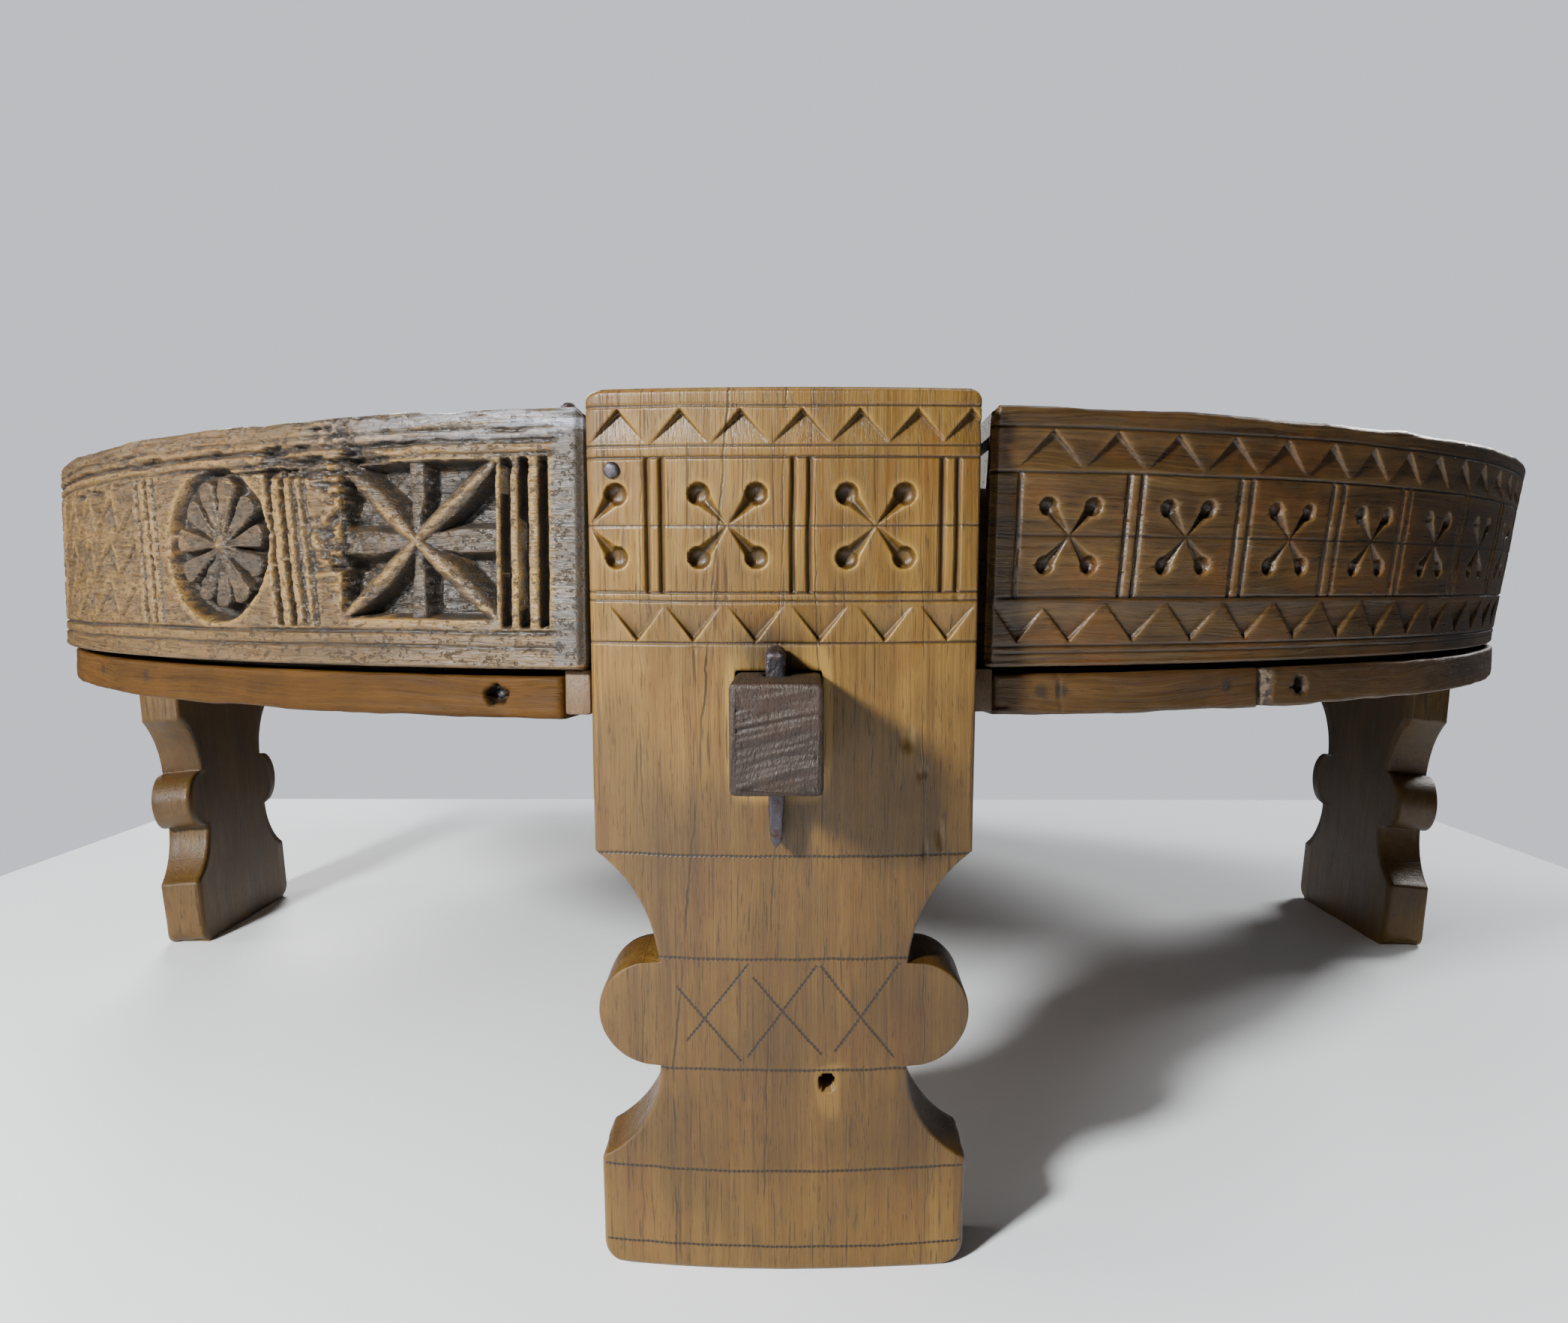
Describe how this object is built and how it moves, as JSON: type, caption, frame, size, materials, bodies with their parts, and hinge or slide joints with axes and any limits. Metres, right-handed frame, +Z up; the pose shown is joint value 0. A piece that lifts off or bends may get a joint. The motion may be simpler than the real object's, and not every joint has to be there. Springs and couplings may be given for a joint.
{
  "type": "round tray table",
  "caption": "Low round wooden tray table: a carved, segmented rim on leaning profile-cut legs, held by through-tenons with iron wedges under a boarded floor.",
  "frame": {"origin": "on the floor, below the centre of the tray", "axes": "+Z up; the front leg faces -Y and the right leg faces +X"},
  "size_m": [0.776, 0.776, 0.242],
  "materials": {
    "leg_wood": "waxed old teak, honey brown with dark grain",
    "beam_wood": "dark, shiny, rough-sawn end grain",
    "star_rim_wood": "weathered grey-brown, black in the recesses, worn on the ridges",
    "cross_rim_wood": "red-brown, semi-gloss, darker in the cuts",
    "band_wood": "orange-brown, smooth and dull",
    "floor_wood": "plain, dry, dull brown",
    "wedge_iron": "hand-forged, dark, with a dull shine",
    "nail_iron": "hand-forged, dark grey"
  },
  "bodies": {
    "root": {"leg_front": "leg_wood", "leg_right": "leg_wood", "leg_back": "leg_wood", "leg_left": "leg_wood", "beam_long": "beam_wood", "beam_cross": "beam_wood", "rim_front_right": "cross_rim_wood", "rim_back_right": "star_rim_wood", "rim_back_left": "cross_rim_wood", "rim_front_left": "star_rim_wood", "band_front_left": "band_wood", "band_front_right_short": "band_wood", "band_front_right_long": "band_wood", "band_back_left": "band_wood", "band_back_right": "band_wood", "board_front_left_inner": "floor_wood", "board_front_left_middle": "floor_wood", "board_front_left_outer": "floor_wood", "board_front_right_inner": "floor_wood", "board_front_right_middle": "floor_wood", "board_front_right_outer": "floor_wood", "board_back_left_inner": "floor_wood", "board_back_left_middle": "floor_wood", "board_back_left_outer": "floor_wood", "board_back_right_inner": "floor_wood", "board_back_right_middle": "floor_wood", "board_back_right_outer": "floor_wood", "leg_nails": "nail_iron", "gap_nails": "nail_iron", "rim_nails": "nail_iron", "band_nails": "nail_iron", "floor_nails": "nail_iron"},
    "wedge_front": {"wedge_front": "wedge_iron"},
    "wedge_right": {"wedge_right": "wedge_iron"},
    "wedge_back": {"wedge_back": "wedge_iron"},
    "wedge_left": {"wedge_left": "wedge_iron"}
  },
  "joints": [
    {"name": "wedge_front_slide", "type": "slide", "parent": "root", "child": "wedge_front", "axis": [0, -0.0767, 0.9971], "range_m": [0, 0.055]},
    {"name": "wedge_right_slide", "type": "slide", "parent": "root", "child": "wedge_right", "axis": [0.0767, 0, 0.9971], "range_m": [0, 0.055]},
    {"name": "wedge_back_slide", "type": "slide", "parent": "root", "child": "wedge_back", "axis": [0, 0.0767, 0.9971], "range_m": [0, 0.055]},
    {"name": "wedge_left_slide", "type": "slide", "parent": "root", "child": "wedge_left", "axis": [-0.0767, 0, 0.9971], "range_m": [0, 0.055]}
  ]
}
